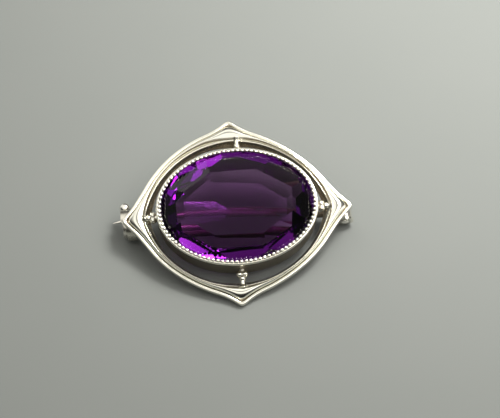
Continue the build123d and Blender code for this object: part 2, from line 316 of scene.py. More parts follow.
def turned(profile, centre, along, steps):
    """Points and faces of a profile of (place along the axis, radius) turned round an axis."""
    axis = Vector(along).normalized()
    aside = axis.orthogonal().normalized()
    other = axis.cross(aside)
    points = []
    for place, radius in profile:
        for step in range(steps):
            angle = 2 * pi * step / steps
            way = aside * cos(angle) + other * sin(angle)
            points.append(tuple(Vector(centre) + axis * place + way * radius))
    faces = grid(len(profile), steps, close_rows=False)
    faces.append(tuple(range(steps)))
    last = (len(profile) - 1) * steps
    faces.append(tuple(range(last + steps - 1, last - 1, -1)))
    return points, faces


def upright(x, y, layers, tarnish_and_shade):
    """A block's points and faces, from layers of (height, half length, half width)."""
    points = []
    for level, half_x, half_y in layers:
        for side_x, side_y in ((-1, -1), (1, -1), (1, 1), (-1, 1)):
            points.append((x + half_x * side_x, y + half_y * side_y, level, tarnish_and_shade))
    last = len(points) - 4
    faces = grid(len(layers), 4, close_rows=False)
    return points, faces + [(3, 2, 1, 0), tuple(range(last, last + 4))]


# Openwork band, one quarter: outer x and y as shares of the frame's half sizes, inner x and y as
# shares of the opening's, and how much wider the rim and how much higher the body are there
band_stations = np.array(
    (
        (0.0000, 1.0000, 0.0000, 1.0000, 1.40, 1.18),
        (0.0240, 0.9850, 0.0220, 0.9990, 1.30, 1.18),
        (0.0733, 0.9420, 0.0667, 0.9950, 1.12, 1.15),
        (0.1600, 0.8840, 0.1550, 0.9770, 1.02, 1.06),
        (0.2800, 0.8240, 0.3000, 0.9320, 1.00, 1.00),
        (0.4400, 0.7240, 0.4950, 0.8250, 1.00, 1.00),
        (0.6000, 0.5820, 0.6790, 0.6640, 1.00, 1.00),
        (0.7267, 0.4213, 0.8160, 0.4820, 1.00, 1.00),
        (0.8200, 0.2650, 0.9100, 0.2980, 1.02, 1.06),
        (0.8967, 0.1407, 0.9650, 0.1480, 1.12, 1.15),
        (0.9730, 0.0400, 0.9940, 0.0420, 1.30, 1.18),
        (1.0000, 0.0000, 1.0000, 0.0000, 1.40, 1.18),
    )
)


def through(table, count):
    """A smooth curve through the rows of a table, flat at the ends in what mirrors there."""
    chord = np.hypot(*np.diff(table[:, :2] * (frame_length, frame_width), axis=0).T)
    stations = np.concatenate(([0.0], np.cumsum(chord)))
    rates = np.diff(table, axis=0) / chord[:, None]
    slopes = np.empty_like(table)
    weight = (chord[:-1] / (chord[:-1] + chord[1:]))[:, None]
    slopes[1:-1] = rates[:-1] * (1 - weight) + rates[1:] * weight
    slopes[0], slopes[-1] = rates[0], rates[-1]
    slopes[0, [1, 3, 4, 5]] = 0.0
    slopes[-1, [0, 2, 4, 5]] = 0.0
    found = []
    for place in np.linspace(0.0, 1.0, count) * stations[-1]:
        k = min(int(np.searchsorted(stations, place, side="right")) - 1, len(chord) - 1)
        h = chord[k]
        t = (place - stations[k]) / h
        found.append(
            table[k] * (2 * t**3 - 3 * t**2 + 1)
            + slopes[k] * h * (t**3 - 2 * t**2 + t)
            + table[k + 1] * (3 * t**2 - 2 * t**3)
            + slopes[k + 1] * h * (t**3 - t**2)
        )
    return np.array(found)


# The band's section. A height share is the body's height against that along the sides
rim_steps, body_steps, lip_steps = 8, 11, 8
rim_widening = 0.30  # how much of its share in the cusps the rim takes in its own width
rim_round = 0.45  # height of the rim's round top, as a share of the rim's width
body_side = 0.34  # how high the body's steep outer side stands over the groove
lip_run_out = 0.15  # the rise over which the lip runs out into the body, as a height share
crest_place, cusp_crest_shift = 0.60, 0.16  # where the body is highest, as a share across it
cusp_rise = 0.35  # how much of the CAD body's rise in the cusps is kept here
cusp_lip_rise, cusp_lip_fall = 0.14, 0.12  # how the lip's outer and inner edge lie in the cusps
# The inner wall is darkened by tarnish and painted shade, for the shade between the band and the
# collar
wall_tarnish_and_shade = 0.45


def band_section(reach, rim_share, height_share):
    """The band's section from its outer foot to its inner foot: place, height and darkening, which
    is tarnish, and painted shade on the inner wall.

    In the cusps the inner lip runs out into the body. The rim's part and the body's part are
    returned apart.
    """
    spread = rim_width * rim_share
    rim = rim_width * (1 - rim_widening + rim_widening * rim_share)
    run_out = min(1.0, max(0.0, (height_share - 1.0) / lip_run_out))
    lip = reach - lip_width * (1 - 0.5 * run_out)
    crest = spread + (lip - spread) * (crest_place - cusp_crest_shift * run_out)
    top = body_height * (1 + (height_share - 1) * cusp_rise)

    # Rim: a flattened half round on an upright outer side, and the groove behind it
    base = rim_height - rim * rim_round
    rim_part = [(0.03, 0.0, 0.3), (0.0, 0.05, 0.2), (0.0, base * 0.6, 0.05), (0.0, base, 0.0)]
    for step in range(1, rim_steps + 1):
        angle = pi * step / rim_steps
        flat = abs(cos(angle)) ** 0.75 * (1 if cos(angle) > 0 else -1)
        height = base + rim * rim_round * sin(angle) ** 0.75
        rim_part.append((rim / 2 * (1 - flat), height, 0.0))
    rim_part.append((rim + 0.01, groove_height + 0.04, 0.7))
    rim_part.append(((rim + spread + groove_width) / 2, groove_height - 0.02, 1.0))

    # Body: a steep side, then a round back over the crest and down to the lip
    side = spread + groove_width
    side_height = groove_height + body_side
    body_part = [(side, groove_height + 0.03, 0.8), (side + 0.02, side_height - 0.08, 0.2)]
    for step in range(1, body_steps + 1):
        angle = pi / 2 * step / body_steps
        across = side + (crest - side) * (1 - cos(angle)) ** 0.85
        height = side_height + (top - side_height) * sin(angle)
        body_part.append((across, height, 0.0))
    edge = lip - 0.03
    lip_base = lip_height - lip_width * 0.5 + cusp_lip_rise * run_out
    for step in range(1, body_steps + 1):
        angle = pi / 2 * step / body_steps
        across = crest + (edge - crest) * sin(angle) ** 1.1
        height = top - (top - lip_base) * (1 - cos(angle)) ** 0.9
        body_part.append((across, height, 0.0))

    # Lip: a fine groove, a half round, and the inner wall that slopes in towards the collar
    groove_share = 1 - run_out
    body_part.append((lip - 0.015, lip_base - 0.05 * groove_share, 0.9 * groove_share))
    for step in range(lip_steps + 1):
        angle = pi * step / lip_steps
        across = lip + (reach - lip) / 2 * (1 - cos(angle))
        height = lip_base + lip_width * (0.5 - 0.35 * run_out) * sin(angle)
        height -= cusp_lip_fall * run_out * step / lip_steps
        body_part.append((across, height, 0.5 * groove_share if step == 0 else 0.0))
    low = lip_base * 0.75
    wall_foot = reach + wall_spread * height_share**3
    body_part += [
        (reach + 0.02, low, wall_tarnish_and_shade),
        ((reach + wall_foot) / 2, low / 2, wall_tarnish_and_shade),
        (wall_foot, 0.04, 0.6),
        (wall_foot - 0.04, 0.0, 0.9),
    ]
    return rim_part, body_part


def rounded(columns, passes, weights):
    """Evens each column of points along the ring, as far as the weights say."""
    for _ in range(passes):
        between = (np.roll(columns, 1, axis=0) + np.roll(columns, -1, axis=0)) / 2
        columns = columns + (between - columns) * 0.5 * weights
    return columns


# Hand work. Each bend moves the band in y: by how much, about which x, and over what reach
far_bends = ((0.42, -3.5, 8.5), (-0.12, 9.0, 4.0))
near_bends = ((0.16, -8.0, 4.0), (0.16, 8.0, 4.0))
bends_start = 3.0  # how far from the x axis the bends are full
long_cusp_shift = -0.29  # how far the far and the near cusp lie aside, in x
wall_shift_loss = 0.3  # share of that shift which the inner wall doesn't follow


def drift(x, y):
    """How far the hand-made frame strays from a mirrored one, in x and y.

    The far and the near cusp sit a little to the left. The far side is bent outward left of
    its middle, and the near side inward on both sides of its cusp.
    """
    share = min(1.0, abs(y) / bends_start)
    share = share * share * (3 - 2 * share)
    up = 0.0
    for size, middle, reach in far_bends if y > 0 else near_bends:
        up += size * exp(-(((x - middle) / reach) ** 2))
    return long_cusp_shift * min(1.0, abs(y) / near_cusp), up * share


quarter_rows = 121
# The cusps are rounded, in full from this rise on. Across the body it starts low at the groove
# and is full from the seventh column on
rim_passes, body_passes = 4, 70
rounded_rise = 0.10
groove_weight, full_weight_column = 0.06, 7

quarter = through(band_stations, quarter_rows)
ring = [(row, 1, 1) for row in quarter]
ring += [(row, 1, -1) for row in quarter[-2::-1]]
ring += [(row, -1, -1) for row in quarter[1:]]
ring += [(row, -1, 1) for row in quarter[-2:0:-1]]
rim_rows, body_rows, cusp_shares = [], [], []
for row, side_x, side_y in ring:
    outer = Vector((row[0] * frame_length / 2 * side_x, row[1] * frame_width / 2 * side_y, 0))
    inner = Vector((row[2] * opening_length / 2 * side_x, row[3] * opening_width / 2 * side_y, 0))
    inward = (inner - outer).normalized()
    parts = band_section((inner - outer).length, row[4], row[5])
    for part, rows in zip(parts, (rim_rows, body_rows)):
        rows.append(
            [
                (*(outer + inward * place + Vector((0, 0, height))), tarnish_and_shade)
                for place, height, tarnish_and_shade in part
            ]
        )
    cusp_shares.append(min(1.0, max(0.0, (row[5] - 1.0) / rounded_rise)))
cusp_weights = np.array(cusp_shares)[:, None, None]
rim_rows = rounded(np.array(rim_rows), rim_passes, cusp_weights)
body_rows = np.array(body_rows)
across_body = np.arange(body_rows.shape[1]) / full_weight_column
inner_weights = np.clip(groove_weight + across_body, 0.0, 1.0)[None, :, None]
body_rows = rounded(body_rows, body_passes, cusp_weights * inner_weights)
band_rows = np.concatenate((rim_rows, body_rows), axis=1)

# The drift fades out over the body, up to the inner wall
wall_columns = 5
rim_columns = rim_rows.shape[1]
fading_columns = band_rows.shape[1] - wall_columns - rim_columns
for ring_row in band_rows:
    for column, point in enumerate(ring_row):
        aside, up = drift(point[0], point[1])
        across = min(1.0, max(0.0, (column - rim_columns) / fading_columns))
        point[:2] += aside * (1 - wall_shift_loss * across), up * (1 - across)
piece(
    "openwork_band",
    [tuple(point) for point in band_rows.reshape(-1, 4)],
    grid(*band_rows.shape[:2]),
    bright_silver,
    "mount",
    crease=50.0,
)


# Collar
broken_edge = 0.03
shoulder_foot = bezel_top - shoulder_height
shoulder_steps, collar_steps = 6, 256
# Offset from the bore, height and darkening: tarnish on the top edge and the seat, painted shade
# on the outer wall
collar_section = [
    (bezel_wall - broken_edge, bezel_foot, 0.9),
    (bezel_wall, bezel_foot + broken_edge, 0.9),
    (bezel_wall, 0.6, 0.85),
    (bezel_wall, 1.6, 0.8),
    (bezel_wall, shoulder_foot - 0.05, 0.85),
    (bezel_wall + 0.02, shoulder_foot, 0.8),
    (shoulder_wall - 0.02, shoulder_foot + 0.01, 0.3),
    (shoulder_wall, shoulder_foot + 0.04, 0.0),
]
for step in range(shoulder_steps + 1):
    turn = pi / 2 * step / shoulder_steps
    collar_section.append(
        (
            shoulder_wall - shoulder_round * (1 - cos(turn)),
            bezel_top - shoulder_round * (1 - sin(turn)),
            0.0,
        )
    )
collar_section += [
    (0.11, bezel_top - 0.02, 0.3),
    (0.08, bezel_top - 0.05, 0.9),
    (0.0, bezel_top - 0.07, 0.8),
    (-0.03, bezel_top - 0.12, 0.6),
    (0.0, bezel_top - 0.25, 0.4),
    (0.0, seat_top, 0.4),
    (-seat_width - stone_gap, seat_top, 0.3),
    (-seat_width - stone_gap, seat_top - seat_height, 0.3),
    (0.0, seat_top - seat_height, 0.6),
    (0.0, bezel_foot + broken_edge, 0.4),
    (broken_edge, bezel_foot, 0.4),
]
collar_points = []
for step in range(collar_steps):
    turn = 2 * pi * step / collar_steps
    for offset, level, tarnish_and_shade in collar_section:
        collar_points.append(
            ((bore_x + offset) * cos(turn), (bore_y + offset) * sin(turn), level, tarnish_and_shade)
        )
piece(
    "collar",
    collar_points,
    grid(collar_steps, len(collar_section)),
    bright_silver,
    "mount",
    crease=40.0,
)


# Grains
def round_grain(centre, along, across, up, sizes, turns=(10, 14)):
    """A grain's points and faces: an ellipsoid on three axes, from its half sizes."""
    rings, steps = turns
    points = [tuple(centre + up * sizes[2])]
    for ring_number in range(1, rings):
        tilt = pi * ring_number / rings
        for step in range(steps):
            turn = 2 * pi * step / steps
            points.append(
                tuple(
                    centre
                    + along * (sizes[0] * sin(tilt) * cos(turn))
                    + across * (sizes[1] * sin(tilt) * sin(turn))
                    + up * (sizes[2] * cos(tilt))
                )
            )
    points.append(tuple(centre - up * sizes[2]))
    last = len(points) - 1
    faces = [(0, 1 + step, 1 + (step + 1) % steps) for step in range(steps)]
    for ring_number in range(rings - 2):
        start = 1 + ring_number * steps
        for step in range(steps):
            beside = (step + 1) % steps
            faces.append(
                (start + step, start + steps + step, start + steps + beside, start + beside)
            )
    start = 1 + (rings - 2) * steps
    faces += [(last, start + (step + 1) % steps, start + step) for step in range(steps)]
    return points, faces


def place_round(half_x, half_y, count):
    """Evenly spaced turns round an ellipse, in radians."""
    fine = np.linspace(0.0, 2 * pi, 4001)
    speed = np.hypot(half_x * np.sin(fine), half_y * np.cos(fine))
    run = np.concatenate(([0.0], np.cumsum((speed[1:] + speed[:-1]) / 2 * np.diff(fine))))
    return np.interp(np.arange(count) / count * run[-1], run, fine)


# Beading round the collar's edge: one grain after another, each a little different
# A bead's half size along, across and up, and how much less or more it may be
bead_sizes = ((0.265, -0.02, 0.015), (0.245, -0.015, 0.015), (0.21, -0.02, 0.01))
bead_stray = 0.015
bead_count = 92
bead_tarnish, bead_tarnish_depth = 0.8, 0.12  # between the beads, full from this depth down
dice = random.Random(11)
bead_points, bead_faces = [], []
bead_level = bezel_top + bead_diameter / 8
half_x, half_y = bore_x - bead_inset / 2, bore_y - bead_inset / 2
for turn in place_round(bore_x - bead_inset, bore_y - bead_inset, bead_count):
    centre = Vector((half_x * cos(turn), half_y * sin(turn), bead_level))
    centre += Vector([dice.uniform(-bead_stray, bead_stray) for _ in range(3)])
    along = Vector((-half_x * sin(turn), half_y * cos(turn), 0)).normalized()
    across = along.cross(Vector((0, 0, 1)))
    sizes = [size + dice.uniform(less, more) for size, less, more in bead_sizes]
    points, faces = round_grain(centre, along, across, Vector((0, 0, 1)), sizes)
    first = len(bead_points)
    for point in points:
        low = min(1.0, max(0.0, (bead_level - point[2]) / bead_tarnish_depth))
        bead_points.append((*point, low * bead_tarnish))
    bead_faces += [tuple(first + index for index in face) for face in faces]
piece("beading", bead_points, bead_faces, bright_silver, "mount", crease=80.0)


# Grain clusters: stub and three grains, run together with solder
solder_tarnish = 9.0  # tarnish for a hollow as deep as a voxel, cut off at 1


def melted(name, parts, material, node, voxel, smooth):
    """Closed shapes run together into one skin, with soft joints that hold some tarnish."""
    points, faces = [], []
    for part_points, part_faces in parts:
        first = len(points)
        points += part_points
        faces += [tuple(first + index for index in face) for face in part_faces]
    made = piece(name, points, faces, material, node, crease=80.0)
    remesh = made.modifiers.new("solder", "REMESH")
    remesh.mode = "VOXEL"
    remesh.voxel_size = voxel * MM
    soften = made.modifiers.new("polish", "SMOOTH")
    soften.factor = 0.5
    soften.iterations = smooth
    run = bpy.data.meshes.new_from_object(
        made.evaluated_get(bpy.context.evaluated_depsgraph_get())
    )
    made.modifiers.clear()
    made.data = run
    skin = bmesh.new()
    skin.from_mesh(run)
    hollow = []
    for vertex in skin.verts:
        around = [edge.other_vert(vertex).co for edge in vertex.link_edges]
        middle = sum(around, Vector((0, 0, 0))) / len(around)
        bend = (middle - vertex.co).dot(vertex.normal) / (voxel * MM)
        hollow.append(min(1.0, max(0.0, bend * solder_tarnish)))
    skin.free()
    for old in [each for each in run.attributes if each.name == "tarnish_and_painted_shade"]:
        run.attributes.remove(old)
    run.attributes.new("tarnish_and_painted_shade", "FLOAT", "POINT").data.foreach_set("value", hollow)
    run.shade_smooth()


# Stubs and grains are a little fuller here than in the CAD source
stub_radius = stub_diameter / 2 + 0.06
grain_radius = grain_diameter / 2 + 0.08
# The grains' places along and beside the stub, as shares of their spacing
grain_places = ((0.58, 0), (-0.29, 0.5), (-0.29, -0.5))
# Name, way out, the collar's edge and the frame's edge that way, and the place aside
cluster_places = (
    ("right", 1, 0, bore_x + bezel_wall, opening_length / 2, 0),
    ("left", -1, 0, bore_x + bezel_wall, opening_length / 2, 0),
    ("far", 0, 1, bore_y + bezel_wall, opening_width / 2, far_cluster_aside),
    ("near", 0, -1, bore_y + bezel_wall, opening_width / 2, 0),
)
for side_name, way_x, way_y, collar_edge, frame_edge, aside in cluster_places:
    way = Vector((way_x, way_y, 0))
    beside = Vector((way_y, way_x, 0))
    lift = Vector((0, 0, grain_level)) + beside * aside
    # The stub flares into the collar and, more, into the band's sloping wall
    stub_end = frame_edge + 0.1 - collar_edge
    profile = [(-sunk, stub_radius * 1.3), (0.1, stub_radius), (stub_end - 0.15, stub_radius)]
    profile += [(stub_end + 0.05, stub_radius * 1.35), (stub_end + 0.25, stub_radius * 1.7)]
    shapes = [turned(profile, way * collar_edge + lift, way, steps=24)]
    for along_share, side_share in grain_places:
        centre = way * (collar_edge + cluster_offset + grain_spacing * along_share)
        centre += beside * (grain_spacing * side_share) + lift
        sizes = (grain_radius,) * 3
        shapes.append(round_grain(centre, way, beside, Vector((0, 0, 1)), sizes, turns=(16, 24)))
    melted("grains_" + side_name, shapes, bright_silver, "mount", voxel=0.03, smooth=2)


# Catch housing, swept round the sleeve, and its foot
def swept_arc(profile, first_angle, last_angle, steps, taper=0.0):
    """A closed profile of (x, radius, darkening) swept round the catch's axis, its ends closed.

    Angles are in degrees, from the far side upward. taper is the angle at which the left end
    is cut away on the near side.
    """
    points = []
    for step in range(steps + 1):
        angle = radians(first_angle + (last_angle - first_angle) * step / steps)
        for x, radius, tarnish_and_shade in profile:
            if x < 0:
                x += max(0.0, -radius * cos(angle)) * tan(radians(taper))
            points.append(
                (
                    catch_x + x,
                    catch_y + radius * cos(angle),
                    -catch_depth + radius * sin(angle),
                    tarnish_and_shade,
                )
            )
    columns = len(profile)
    faces = grid(steps + 1, columns, close_rows=False)
    faces.append(tuple(range(columns)))
    faces.append(tuple(steps * columns + index for index in reversed(range(columns))))
    return points, faces


half_catch = catch_length / 2
lip_radius = bore_radius - housing_lip_reach
# The housing's darkening is painted shade: a little over its outside and lip, full in its bore
housing_profile = (
    (-half_catch, housing_radius, 0.35),
    (half_catch, housing_radius, 0.35),
    (half_catch, lip_radius, 0.2),
    (half_catch - housing_lip, lip_radius, 0.6),
    (half_catch - housing_lip, bore_radius, 1.0),
    (-half_catch + housing_lip, bore_radius, 1.0),
    (-half_catch + housing_lip, lip_radius, 0.6),
    (-half_catch, lip_radius, 0.2),
)
catch_housing = piece(
    "catch_housing",
    *swept_arc(housing_profile, mouth_end, mouth_start + 360, steps=72, taper=housing_taper),
    bright_silver,
    "mount",
)
bevel(catch_housing, width=0.05)

# The foot is a little narrower at half its height and spreads where it meets the frame
foot_drop = catch_depth - housing_radius + housing_wall * 0.6
foot_layers = [
    (level, foot_length / 2 * spread, foot_width / 2 * spread)
    for level, spread in ((-foot_drop, 1.0), (-foot_drop * 0.5, 0.94), (sunk, 1.08))
]
foot_x = catch_x + (catch_length - foot_length) / 2
catch_foot = piece(
    "catch_foot", *upright(foot_x, catch_y, foot_layers, 0.3), bright_silver, "mount"
)
bevel(catch_foot, width=0.08, segments=3)


# Hinge: plate and two ears
def ear_edge(angle, hole):
    """The ear's outline, or its hole's, in direction angle, as x and z from the rivet.

    Below the rivet the ear is round, and above it goes straight up to the plate.
    """
    if hole:
        radius = rivet_diameter / 2 + rivet_gap
        return radius * cos(angle), radius * sin(angle)
    way_x, way_z = cos(angle), sin(angle)
    if way_z <= 0:
        return ear_radius * way_x, ear_radius * way_z
    side = ear_radius if way_x < 0 else ear_neck
    reach = hinge_depth / way_z
    if abs(way_x) > 1e-9:
        reach = min(reach, side / abs(way_x))
    return max(reach, ear_radius) * way_x, max(reach, ear_radius) * way_z


ear_steps = 96
for ear_name, ear_y in (("far", hinge_y + hinge_half_width), ("near", near_ear_y + ear_thickness)):
    ear_points = []
    for face_y, hole in (
        (ear_y, False),
        (ear_y, True),
        (ear_y - ear_thickness, True),
        (ear_y - ear_thickness, False),
    ):
        for step in range(ear_steps):
            out_x, out_z = ear_edge(2 * pi * step / ear_steps, hole)
            ear_points.append(
                (hinge_x + out_x, face_y, -hinge_depth + out_z, 0.35 if hole else 0.1)
            )
    ear = piece(
        "hinge_ear_" + ear_name, ear_points, grid(4, ear_steps), bright_silver, "mount"
    )
    bevel(ear, width=0.04)

plate_edge = 0.04
plate_length = ear_radius + ear_neck
plate_x = hinge_x + (ear_neck - ear_radius) / 2
plate_layers = (
    (-hinge_plate, plate_length / 2 - plate_edge, hinge_half_width - plate_edge),
    (-hinge_plate + plate_edge, plate_length / 2, hinge_half_width),
    (sunk, plate_length / 2, hinge_half_width),
)
piece("hinge_plate", *upright(plate_x, hinge_y, plate_layers, 0.25), bright_silver, "mount")


# Rivet with its two domed heads
def dome(height, radius, steps):
    """A round head's profile, from its foot to its middle."""
    return [
        (height * sin(pi / 2 * step / steps), max(0.02, radius * cos(pi / 2 * step / steps)))
        for step in range(steps + 1)
    ]


head_foot = hinge_half_width + rivet_gap
head = dome(rivet_head_height, rivet_head_diameter / 2, steps=8)
rivet_profile = [(-head_foot - place, radius) for place, radius in reversed(head)]
rivet_profile += [(-head_foot, rivet_diameter / 2), (head_foot, rivet_diameter / 2)]
rivet_profile += [(head_foot + place, radius) for place, radius in head]
rivet_points, rivet_faces = turned(
    rivet_profile, (hinge_x, hinge_y, -hinge_depth), (0, 1, 0), steps=40
)
piece(
    "rivet", rivet_points, rivet_faces, wire_silver, "hinge_rivet", slot="pin_silver", crease=50.0
)


# Turning sleeve with its knob
sleeve_profile = (
    (-sleeve_length / 2, sleeve_radius, 0.3),
    (sleeve_length / 2, sleeve_radius, 0.3),
    (sleeve_length / 2, sleeve_bore, 0.6),
    (-sleeve_length / 2, sleeve_bore, 0.6),
)
sleeve = piece(
    "catch_sleeve_ring",
    *swept_arc(sleeve_profile, slot_end, slot_start + 360, steps=96),
    catch_silver,
    "catch_sleeve",
    body="catch",
    slot="catch_silver",
)
bevel(sleeve, width=0.04)
knob_way = Vector((0, cos(radians(knob_angle)), sin(radians(knob_angle))))
knob_foot = Vector((catch_x - knob_offset, catch_y, -catch_depth))
knob_profile = [
    ((sleeve_radius + sleeve_bore) / 2, knob_neck_diameter / 2),
    (sleeve_radius + 0.02, knob_neck_diameter / 2 * 1.1),
]
# The ball starts where it has grown to the neck's width
ball_steps, ball_start = 24, 3
for step in range(ball_start, ball_steps + 1):
    tilt = pi * step / ball_steps
    knob_profile.append(
        (
            knob_reach - knob_diameter / 2 * cos(tilt),
            max(0.01, knob_diameter / 2 * sin(tilt)),
        )
    )
knob_points, knob_faces = turned(knob_profile, knob_foot, knob_way, steps=48)
piece(
    "catch_knob",
    knob_points,
    knob_faces,
    catch_silver,
    "catch_sleeve",
    body="catch",
    slot="catch_silver",
    crease=60.0,
)


# Pin: knuckle, stem and point
pin_start = Vector((hinge_x, hinge_y, -hinge_depth))
pin_bend = Vector((pin_bend_x, pin_bend_y, -catch_depth))
pin_tip = Vector((pin_tip_x, pin_tip_y, -catch_depth))
hole_radius = rivet_diameter / 2 + running_gap
knuckle_steps, wire_steps = 72, 32
knuckle_points = []
for face_y, radius, tarnish_and_shade in (
    (knuckle_width / 2, knuckle_radius, 0.1),
    (knuckle_width / 2, hole_radius, 0.8),
    (-knuckle_width / 2, hole_radius, 0.8),
    (-knuckle_width / 2, knuckle_radius, 0.1),
):
    for step in range(knuckle_steps):
        turn = 2 * pi * step / knuckle_steps
        knuckle_points.append(
            (
                hinge_x + radius * cos(turn),
                hinge_y + face_y,
                -hinge_depth + radius * sin(turn),
                tarnish_and_shade,
            )
        )
knuckle = piece(
    "pin_knuckle",
    knuckle_points,
    grid(4, knuckle_steps),
    wire_silver,
    "pin_stem",
    body="pin",
    slot="pin_silver",
)
bevel(knuckle, width=0.08, segments=3)

stem_way = (pin_bend - pin_start).normalized()
stem_run = (pin_bend - pin_start).length
tip_way = (pin_tip - pin_bend).normalized()
tip_run = (pin_tip - pin_bend).length
# The pin's course: place, direction, radius and darkening; along the stem under the stone the
# darkening is painted shade, and the point is left bright. It starts inside the knuckle's wall
pin_line = []
stem_start = knuckle_radius * 0.75
for share in (0.0, 0.25, 0.5, 0.75, 0.97):
    place = pin_start + stem_way * (stem_start + share * (stem_run - stem_start))
    pin_line.append((place, stem_way, pin_diameter / 2, 0.9))
pin_line.append((pin_bend, (stem_way + tip_way).normalized(), pin_diameter / 2, 0.5))
for share in (0.06, 0.15, 0.3, 0.5, 0.7, 0.85, 0.94, 1.0):
    radius = pin_diameter / 2 * (1 - share**1.15) + pin_point_diameter / 2 * share
    pin_line.append((pin_bend + tip_way * tip_run * share, tip_way, radius, 0.0))
stem_points = []
for place, way, radius, tarnish_and_shade in pin_line:
    up = Vector((0, 0, 1))
    aside = way.cross(up).normalized()
    over = aside.cross(way)
    for step in range(wire_steps):
        turn = 2 * pi * step / wire_steps
        skin = place + (aside * cos(turn) + over * sin(turn)) * radius
        stem_points.append((*skin, tarnish_and_shade))
stem_faces = grid(len(pin_line), wire_steps, close_rows=False)
stem_faces.append(tuple(range(wire_steps)))
stem_faces.append(tuple(reversed(range(len(stem_points) - wire_steps, len(stem_points)))))
piece(
    "pin_wire",
    stem_points,
    stem_faces,
    wire_silver,
    "pin_stem",
    body="pin",
    slot="pin_silver",
    crease=50.0,
)


# Stone, cut facet by facet out of an oval block
def all_round(directions):
    """Directions of one quarter, in degrees, mirrored into the other three."""
    found = set()
    for direction in directions:
        found.update({direction, 180 - direction, 180 + direction, (360 - direction) % 360})
    return sorted(found)


def cut_facet(block, direction, slope, inset, level, side):
    """Cuts one facet: its plane passes inset inside the girdle's outline at that level.

    side is 1 on the crown and -1 on the pavilion.
    """
    across, along = cos(radians(direction)), sin(radians(direction))
    reach = hypot(stone_length / 2 * across, stone_width / 2 * along) - inset
    normal = Vector((across * sin(radians(slope)), along * sin(radians(slope)), 0))
    normal.z = cos(radians(slope)) * side
    cut = bmesh.ops.bisect_plane(
        block,
        geom=block.verts[:] + block.edges[:] + block.faces[:],
        dist=1e-5,
        plane_co=(reach * across, reach * along, level),
        plane_no=normal,
        clear_outer=True,
    )
    rim = [item for item in cut["geom_cut"] if isinstance(item, bmesh.types.BMEdge)]
    rim = [edge for edge in rim if edge.is_boundary]
    if len(rim) > 2:  # else the plane missed the block
        bmesh.ops.contextual_create(block, geom=rim)


table_inset, break_slope = 3.05, 46.5
first_step_depth, second_step_depth, second_step_slope = 0.95, 2.85, 37.0
main_directions = all_round((0, 56, 90))
break_directions = all_round((17, 42, 69, 80))
girdle_directions = all_round((0, 22, 42, 56, 75, 90))
main_slope = degrees(atan2(crown_height, table_inset))
second_inset = first_step_depth / tan(radians(first_step_slope))
third_inset = second_inset + (second_step_depth - first_step_depth) / tan(
    radians(second_step_slope)
)
third_slope = degrees(
    atan2(pavilion_depth - second_step_depth, stone_width / 2 - third_inset)
)
# Directions, slope, inset, level and side of each row of facets
facet_rows = (
    (main_directions, main_slope, 0, girdle_top, 1),
    (break_directions, break_slope, 0, girdle_top, 1),
    (girdle_directions, first_step_slope, 0, girdle_level, -1),
    (main_directions, second_step_slope, second_inset, girdle_level - first_step_depth, -1),
    (main_directions, third_slope, third_inset, girdle_level - second_step_depth, -1),
)
# How far each facet is off its direction and its slope, in degrees, as cut by hand
facet_offsets = (
    (
        (-1.5, 1.4), (1.5, -1.3), (0.4, -1.5), (0, 0), (-1.4, -1.5), (0.1, -0.6),
        (-0.9, -1.5), (0, 0),
    ),
    (
        (-1.5, 1.1), (1.5, 1.5), (1.5, 1.5), (-1.5, -0.5), (1.5, -1.5), (1.5, 0.4),
        (-1.5, 1.5), (0, 0), (0.4, 0), (-1.5, -1.2), (0.3, 1.5), (-1.5, 1.5),
        (-1.5, -1.5), (1.5, -1.5), (-0.2, 1.5), (-1.5, 1.2),
    ),
    (
        (5, 0.1), (2.7, 1.3), (0, 3), (5, -0.1), (5, -3), (-1, 0.4),
        (0, 0), (-3.4, 0.2), (2.9, -0.4), (-0.5, -0.4), (1.7, -3), (-1.3, -1.3),
        (0.5, 2.5), (1.7, -0.3), (-1.1, -3), (-2.5, 1), (2, 3), (0.3, 0.7),
        (-0.2, -3), (-2.7, 1.6),
    ),
    (
        (-1.9, -1.2), (-1.8, -3), (-3.6, -3), (1.7, 4), (2.7, 2.4), (0, 0),
        (0.6, -1.1), (-1.6, 0.1),
    ),
    (
        (1, 1), (-2.7, 2.1), (1.6, 0.5), (-3.5, 3), (4.1, -3), (-3.3, 0.7),
        (0, 0), (-4.2, 1.3),
    ),
)
merged_within = 2e-4
stone_steps = 96
block = bmesh.new()
rims = []
for level in (girdle_level - pavilion_depth, girdle_top + crown_height):
    rims.append(
        [
            block.verts.new(
                (
                    stone_length / 2 * cos(2 * pi * step / stone_steps),
                    stone_width / 2 * sin(2 * pi * step / stone_steps),
                    level,
                )
            )
            for step in range(stone_steps)
        ]
    )
block.faces.new(reversed(rims[0]))
block.faces.new(rims[1])
for step in range(stone_steps):
    beside = (step + 1) % stone_steps
    block.faces.new((rims[0][step], rims[0][beside], rims[1][beside], rims[1][step]))
for (directions, slope, inset, level, side), offsets in zip(facet_rows, facet_offsets):
    for direction, (turned_by, steeper_by) in zip(directions, offsets):
        cut_facet(block, direction + turned_by, slope + steeper_by, inset, level, side)
bmesh.ops.remove_doubles(block, verts=block.verts[:], dist=merged_within)
bmesh.ops.recalc_face_normals(block, faces=block.faces[:])
block.verts.index_update()
stone_points = [tuple(vertex.co) for vertex in block.verts]
stone_faces = [tuple(vertex.index for vertex in face.verts) for face in block.faces]
block.free()
piece(
    "stone", stone_points, stone_faces, stone_material, "amethyst", slot="amethyst", crease=None
)


